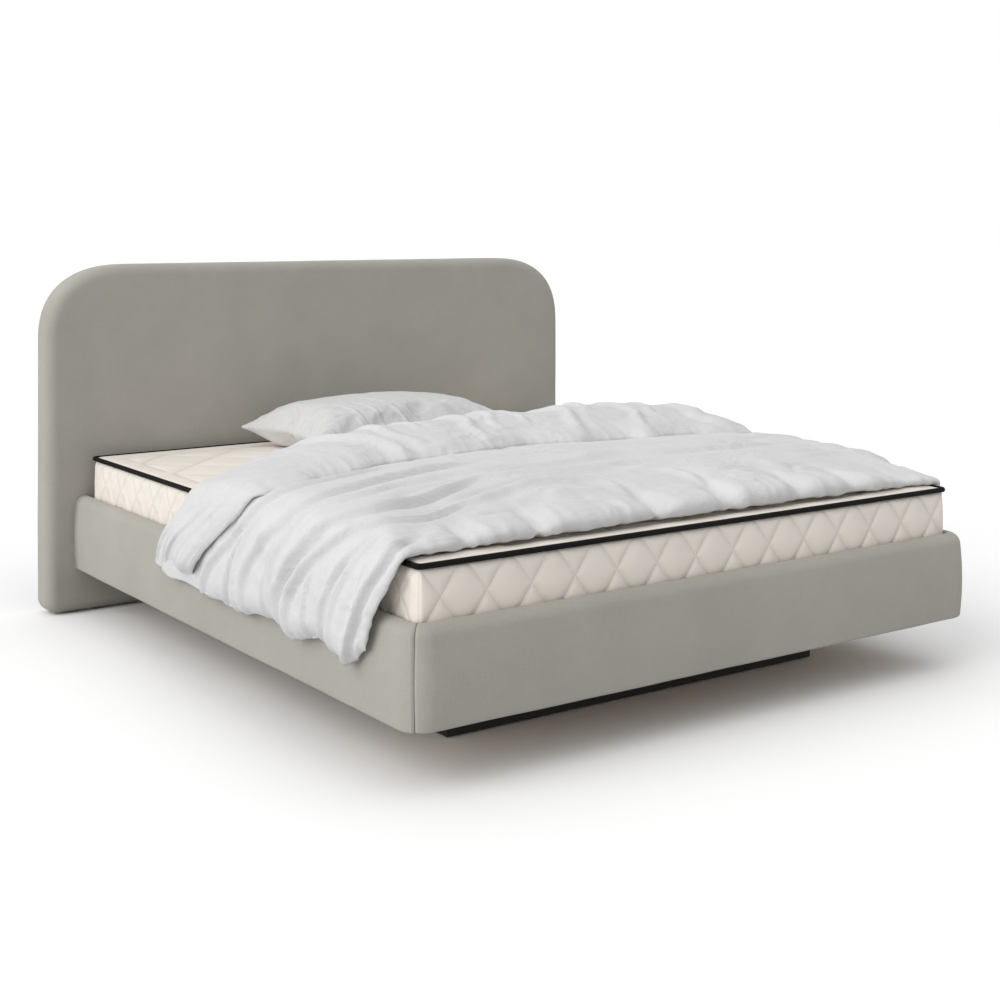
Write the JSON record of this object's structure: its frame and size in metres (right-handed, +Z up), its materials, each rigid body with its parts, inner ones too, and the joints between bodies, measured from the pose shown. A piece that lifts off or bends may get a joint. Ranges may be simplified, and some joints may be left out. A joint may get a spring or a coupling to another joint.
{
  "type": "upholstered bed",
  "caption": "Double bed with round-cornered padded headboard, padded floating rails on a set-back plinth, slatted base, quilted mattress, pillow and folded-back duvet.",
  "frame": {"origin": "middle of the footprint, on the floor", "axes": "+Z up, +Y towards the headboard, +X to the right when looking from the foot to the head"},
  "size_m": [2.07, 2.1799, 1.135],
  "materials": {
    "cover_fabric": "matte woven greige upholstery",
    "back_cloth": "thin black spun cloth",
    "padding_foam": "upholstery foam",
    "pine": "planed, unfinished",
    "birch_board": "plywood, unfinished",
    "steel": "zinc plated",
    "slat_tape": "woven webbing",
    "plinth_black": "matte black board",
    "glide_plastic": "moulded",
    "spring_block": "spun cloth over pocket springs",
    "mattress_ticking": "quilted ivory knit",
    "piping_tape": "black edge tape",
    "bed_linen": "soft white cotton"
  },
  "bodies": {
    "bed_frame": {"headboard_cover": "cover_fabric", "left_rail_cover": "cover_fabric", "right_rail_cover": "cover_fabric", "foot_rail_cover": "cover_fabric", "headboard_back_cloth": "back_cloth", "headboard_foam": "padding_foam", "left_rail_foam": "padding_foam", "right_rail_foam": "padding_foam", "foot_rail_foam": "padding_foam", "headboard_left_stile": "pine", "headboard_right_stile": "pine", "headboard_top_rail": "pine", "headboard_bolt_rail": "pine", "headboard_bottom_rail": "pine", "foot_corner_posts": "pine", "left_slat_ledge": "pine", "right_slat_ledge": "pine", "centre_beam": "pine", "front_bearer": "pine", "middle_bearer": "pine", "rear_bearer": "pine", "plinth_corner_blocks": "pine", "headboard_corner_blocks": "birch_board", "headboard_panel": "birch_board", "left_rail_board": "birch_board", "right_rail_board": "birch_board", "foot_rail_board": "birch_board", "slat_01": "birch_board", "slat_02": "birch_board", "slat_03": "birch_board", "slat_04": "birch_board", "slat_05": "birch_board", "slat_06": "birch_board", "slat_07": "birch_board", "slat_08": "birch_board", "slat_09": "birch_board", "slat_10": "birch_board", "slat_11": "birch_board", "slat_12": "birch_board", "bearer_brackets": "steel", "head_brackets": "steel", "corner_plates": "steel", "bed_bolts": "steel", "slat_tapes": "slat_tape", "plinth_front_board": "plinth_black", "plinth_back_board": "plinth_black", "plinth_left_board": "plinth_black", "plinth_right_board": "plinth_black", "plinth_centre_board": "plinth_black", "floor_glides": "glide_plastic"},
    "mattress": {"mattress_spring_core": "spring_block", "mattress_top_foam": "padding_foam", "mattress_bottom_foam": "padding_foam", "mattress_border": "mattress_ticking", "mattress_top_panel": "mattress_ticking", "mattress_bottom_panel": "mattress_ticking", "mattress_top_piping": "piping_tape", "mattress_bottom_piping": "piping_tape"},
    "pillow": {"pillow": "bed_linen"},
    "duvet": {"duvet": "bed_linen"}
  },
  "joints": [
    {"name": "mattress_lift", "type": "slide", "parent": "bed_frame", "child": "mattress", "axis": [0, 0, 1], "range_m": [0, 0.3]},
    {"name": "pillow_lift", "type": "slide", "parent": "mattress", "child": "pillow", "axis": [0, 0, 1], "range_m": [0, 0.4]},
    {"name": "duvet_lift", "type": "slide", "parent": "mattress", "child": "duvet", "axis": [0, 0, 1], "range_m": [0, 0.4]}
  ]
}
